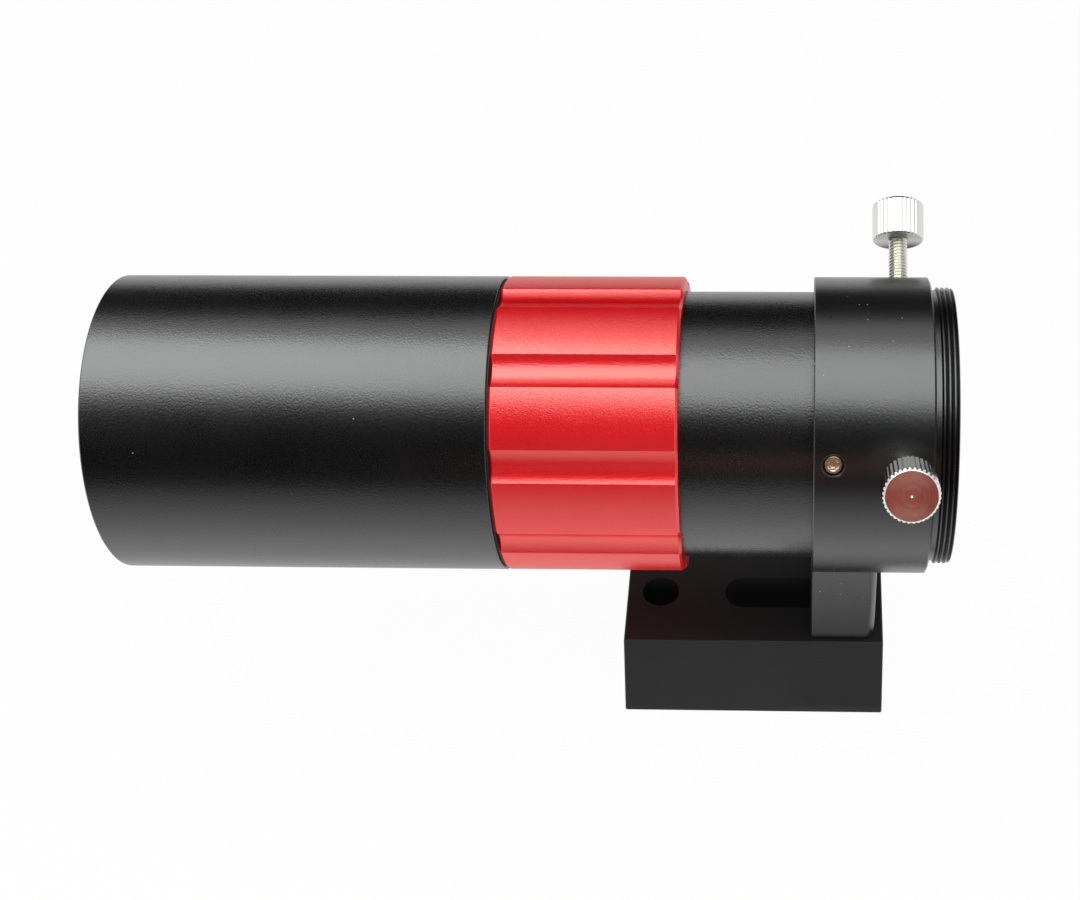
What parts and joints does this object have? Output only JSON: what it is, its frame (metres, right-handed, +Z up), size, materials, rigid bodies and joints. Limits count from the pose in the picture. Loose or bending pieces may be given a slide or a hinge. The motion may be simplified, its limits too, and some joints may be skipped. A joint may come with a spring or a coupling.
{
  "type": "guide camera",
  "caption": "Small guide scope that carries an autoguiding camera: black tube with a fluted red lock ring, rear clamp holder with thumbscrews, and a dovetail foot.",
  "frame": {"origin": "middle of the dovetail foot's underside", "axes": "+X along the tube towards the camera end, +Z up from the foot to the tube, -Y the left side seen from the camera end"},
  "size_m": [0.1261, 0.0666, 0.074],
  "materials": {
    "black_anodised": "satin",
    "foot_black": "matte",
    "red_anodised": "satin",
    "black_flock": "matte",
    "optical_glass": "polished",
    "bright_steel": "polished",
    "black_steel": "satin",
    "black_nylon": "matte"
  },
  "bodies": {
    "scope_body": {"draw_tube": "black_anodised", "front_glare_stop": "black_flock", "rear_glare_stop": "black_flock", "rear_holder": "black_anodised", "dovetail_foot": "foot_black", "foot_screw": "black_steel", "foot_screw_washer": "bright_steel", "holder_grub_screws": "bright_steel"},
    "focus_carriage": {"lens_cell": "black_flock", "crown_lens": "optical_glass", "flint_lens": "optical_glass", "lens_spacer": "black_flock", "lens_retaining_ring": "black_flock"},
    "focus_barrel": {"front_barrel": "black_anodised"},
    "lock_carriage": {"lock_washer": "black_nylon"},
    "lock_ring": {"lock_ring": "red_anodised"},
    "left_thumb_shank": {"left_thumbscrew_shank": "bright_steel"},
    "left_thumb_head": {"left_thumbscrew_head": "bright_steel"},
    "right_thumb_shank": {"right_thumbscrew_shank": "bright_steel"},
    "right_thumb_head": {"right_thumbscrew_head": "bright_steel"}
  },
  "joints": [
    {"name": "focus_travel", "type": "slide", "parent": "scope_body", "child": "focus_carriage", "axis": [-1, 0, 0], "range_m": [0, 0.00801]},
    {"name": "focus_turn", "type": "hinge", "parent": "focus_carriage", "child": "focus_barrel", "pos_m": [-0.0605, 0, 0.0515], "axis": [-1, 0, 0], "range_deg": [0, 2880]},
    {"name": "lock_travel", "type": "slide", "parent": "scope_body", "child": "lock_carriage", "axis": [1, 0, 0], "range_m": [0, 0.00401]},
    {"name": "lock_turn", "type": "hinge", "parent": "lock_carriage", "child": "lock_ring", "pos_m": [-0.0235, 0, 0.0515], "axis": [1, 0, 0], "range_deg": [0, 1440]},
    {"name": "left_thumb_travel", "type": "slide", "parent": "scope_body", "child": "left_thumb_shank", "axis": [0, 0.866, -0.5], "range_m": [-0.0025, 0.008]},
    {"name": "left_thumb_turn", "type": "hinge", "parent": "left_thumb_shank", "child": "left_thumb_head", "pos_m": [0.0226, -0.02667, 0.0669], "axis": [0, 0.866, -0.5], "range_deg": [-1801, 5761]},
    {"name": "right_thumb_travel", "type": "slide", "parent": "scope_body", "child": "right_thumb_shank", "axis": [0, -0.866, -0.5], "range_m": [-0.0025, 0.007]},
    {"name": "right_thumb_turn", "type": "hinge", "parent": "right_thumb_shank", "child": "right_thumb_head", "pos_m": [0.0226, 0.02589, 0.06645], "axis": [0, -0.866, -0.5], "range_deg": [-1801, 5041]}
  ],
  "couplings": [
    {"joint": "focus_travel", "follows": "focus_turn", "m_per_rad": 0.00015915},
    {"joint": "lock_travel", "follows": "lock_turn", "m_per_rad": 0.00015915},
    {"joint": "left_thumb_turn", "follows": "left_thumb_travel", "rad_per_m": 12566},
    {"joint": "right_thumb_turn", "follows": "right_thumb_travel", "rad_per_m": 12566}
  ]
}
